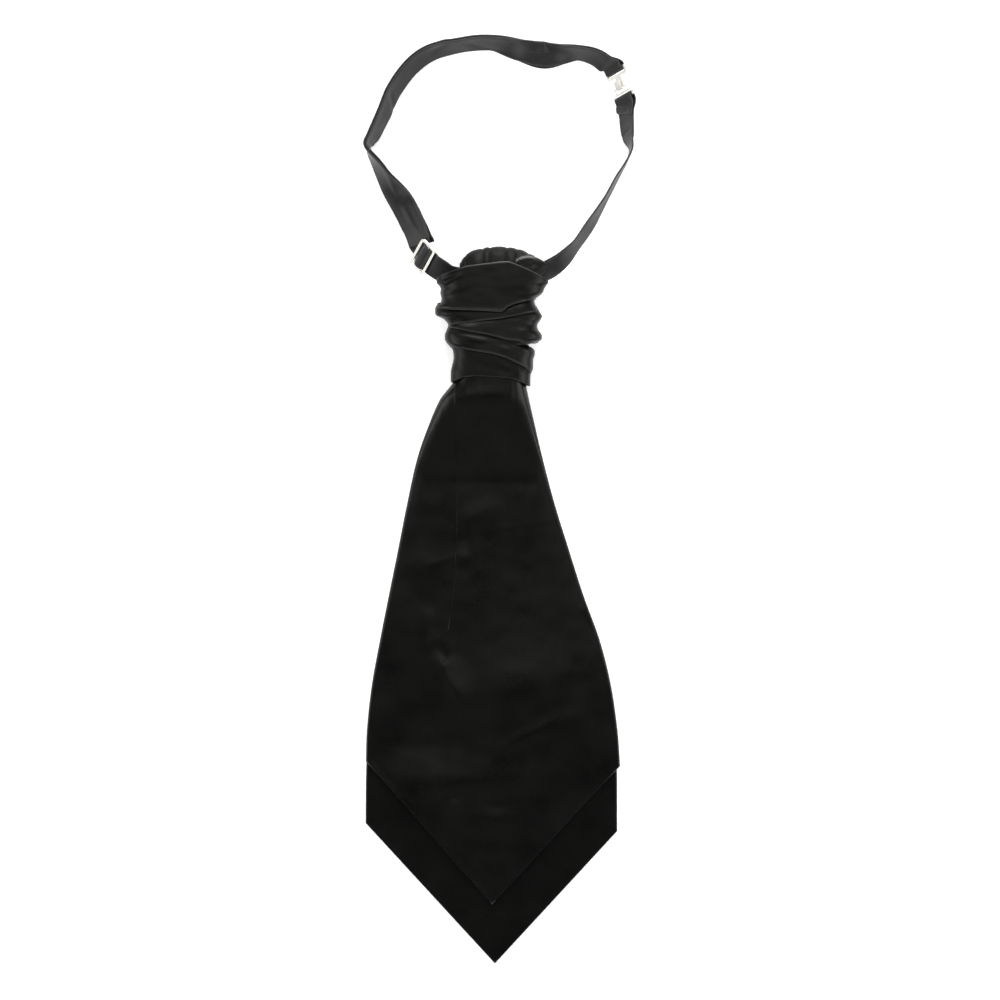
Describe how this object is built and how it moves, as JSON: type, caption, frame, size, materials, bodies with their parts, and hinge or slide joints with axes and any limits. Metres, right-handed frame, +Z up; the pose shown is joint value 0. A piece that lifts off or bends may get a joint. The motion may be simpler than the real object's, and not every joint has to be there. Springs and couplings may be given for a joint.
{
  "type": "ruche tie",
  "caption": "Ready-tied gathered cravat with a ruched knot and two pointed blades, on an adjustable neck strap closed by a hook and eye.",
  "frame": {"origin": "centre of the tie's outline, on the surface that it lies on", "axes": "+X across the blades to the right as seen from the front, +Y from the points towards the neck strap, +Z up out of the front"},
  "size_m": [0.1508, 0.5114, 0.027],
  "materials": {
    "satin": "black satin with a soft sheen",
    "strap_satin": "black satin band, slightly greyer",
    "nickel": "polished nickel plate"
  },
  "bodies": {
    "root": {"front_blade": "satin", "back_blade": "satin", "gathered_head": "satin", "knot_wrap": "satin", "neck_strap": "strap_satin", "slide": "nickel", "clasp_hook": "nickel", "clasp_eye": "nickel"}
  },
  "joints": []
}
